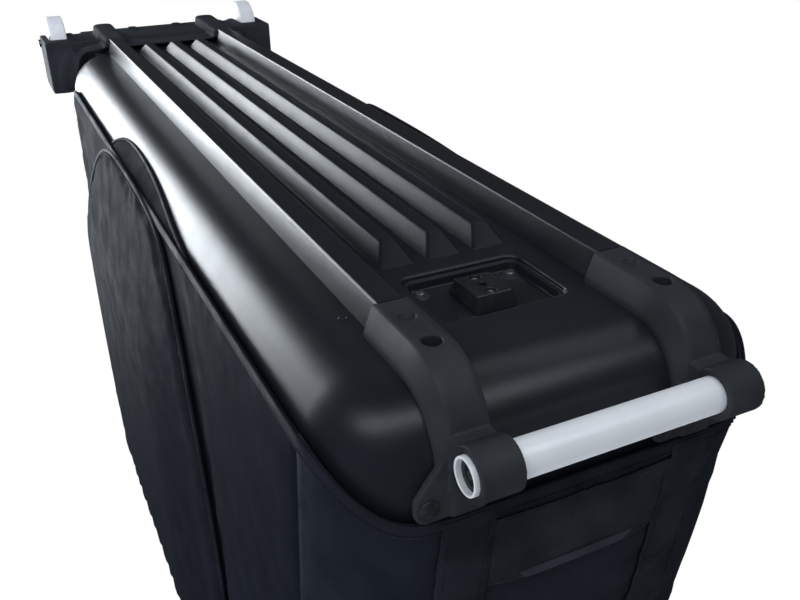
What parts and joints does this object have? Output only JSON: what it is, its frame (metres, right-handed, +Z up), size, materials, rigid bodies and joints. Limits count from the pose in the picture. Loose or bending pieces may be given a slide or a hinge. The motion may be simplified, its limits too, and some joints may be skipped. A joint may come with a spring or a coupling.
{
  "type": "bike travel case",
  "caption": "Soft bicycle travel case on a moulded base with skid rails, a pull bar held by bent brackets, rear wheels, side wheel pockets and a hinged zip lid.",
  "frame": {"origin": "middle of the bounding box, on the ground under the wheels and the front brackets", "axes": "+X along the case towards the pull bar, +Y across it to the zip side, +Z up"},
  "size_m": [1.4652, 0.4212, 0.8442],
  "materials": {
    "shell_plastic": "fine woven grain with a soft sheen",
    "bracket_plastic": "fine spark-eroded grain",
    "dock_plastic": "smooth gloss",
    "rivet_plastic": "smooth cap",
    "bar_aluminium": "satin anodised",
    "steel": "zinc plated",
    "wheel_tread": "cloudy cast polyurethane",
    "wheel_hub": "moulded",
    "bag_fabric": "coated ballistic weave",
    "fabric_rough": "coarse weave",
    "webbing": "woven webbing",
    "binding": "grosgrain binding with stitching",
    "zip_tape": "zip tape with moulded teeth",
    "zip_metal": "black lacquer",
    "zip_pull": "moulded grip",
    "tab_grey": "satin",
    "foam": "fabric-faced foam",
    "stay_rod": "glass fibre rod"
  },
  "bodies": {
    "base": {"axle_bolt_left": "steel", "axle_bolt_right": "steel", "axle_nut_left": "steel", "axle_nut_right": "steel", "base_shell": "shell_plastic", "bracket_bolts": "steel", "bracket_nuts": "steel", "carrier_screws": "steel", "cradle_strap": "webbing", "dock_backing_plate": "steel", "dock_block": "dock_plastic", "dock_screws": "steel", "floor_pad": "foam", "foot_rivets": "rivet_plastic", "frame_cradle": "foam", "front_bracket_left": "bracket_plastic", "front_bracket_right": "bracket_plastic", "front_panel": "fabric_rough", "front_strap_left": "webbing", "front_strap_right": "webbing", "front_tab": "tab_grey", "front_wall": "bag_fabric", "handle_tube": "bar_aluminium", "hem_binding": "binding", "lid_hinge_piping": "binding", "rail_screws": "steel", "rear_hood": "bag_fabric", "rear_wall": "bag_fabric", "recess_screws": "steel", "side_wall_left": "bag_fabric", "side_wall_right": "bag_fabric", "skid_rail_left": "shell_plastic", "skid_rail_right": "shell_plastic", "stay_rods": "stay_rod", "stay_sockets": "bracket_plastic", "tube_end_plugs": "bracket_plastic", "wheel_carrier": "bracket_plastic", "wheel_pocket_left": "bag_fabric", "wheel_pocket_right": "bag_fabric", "zip_tape_wall": "zip_tape"},
    "wheel_left": {"wheel_tyre_left": "wheel_tread", "wheel_hub_left": "wheel_hub", "wheel_bearings_left": "steel"},
    "wheel_right": {"wheel_tyre_right": "wheel_tread", "wheel_hub_right": "wheel_hub", "wheel_bearings_right": "steel"},
    "lid": {"lid_panel": "bag_fabric", "lid_band_front": "bag_fabric", "lid_band_left": "bag_fabric", "lid_band_right": "bag_fabric", "lid_hinge_flap": "binding", "zip_tape_lid": "zip_tape"},
    "front_slider": {"zip_slider_front": "zip_metal"},
    "rear_slider": {"zip_slider_rear": "zip_metal"},
    "front_pull": {"zip_pull_front": "zip_pull"},
    "rear_pull": {"zip_pull_rear": "zip_pull"},
    "front_handle": {"front_carry_handle": "webbing"},
    "rear_handle": {"rear_carry_handle": "webbing"}
  },
  "joints": [
    {"name": "wheel_left_spin", "type": "hinge", "parent": "base", "child": "wheel_left", "pos_m": [-0.68763, 0.1765, 0.045], "axis": [0, 1, 0], "continuous": true},
    {"name": "wheel_right_spin", "type": "hinge", "parent": "base", "child": "wheel_right", "pos_m": [-0.68763, -0.1765, 0.045], "axis": [0, 1, 0], "continuous": true},
    {"name": "lid_open", "type": "hinge", "parent": "base", "child": "lid", "pos_m": [0.15046, -0.1913, 0.80182], "axis": [0.9999, 0, -0.0158], "range_deg": [0, 180]},
    {"name": "zip_front_slide", "type": "slide", "parent": "lid", "child": "front_slider", "axis": [0.9999, 0, -0.0158], "range_m": [0, 0.34]},
    {"name": "zip_rear_slide", "type": "slide", "parent": "lid", "child": "rear_slider", "axis": [-0.9999, 0, 0.0158], "range_m": [0, 0.42]},
    {"name": "zip_front_pull_swing", "type": "hinge", "parent": "front_slider", "child": "front_pull", "pos_m": [0.16346, 0.1949, 0.80162], "axis": [0.9999, 0, -0.0158], "range_deg": [0, 170]},
    {"name": "zip_rear_pull_swing", "type": "hinge", "parent": "rear_slider", "child": "rear_pull", "pos_m": [0.13746, 0.1949, 0.80203], "axis": [0.9999, 0, -0.0158], "range_deg": [0, 170]},
    {"name": "front_handle_swing", "type": "hinge", "parent": "base", "child": "front_handle", "pos_m": [0.62959, 0, 0.64022], "axis": [0, -1, 0], "range_deg": [0, 150]},
    {"name": "rear_handle_swing", "type": "hinge", "parent": "base", "child": "rear_handle", "pos_m": [-0.6227, 0, 0.52003], "axis": [0, 1, 0], "range_deg": [0, 150]}
  ]
}
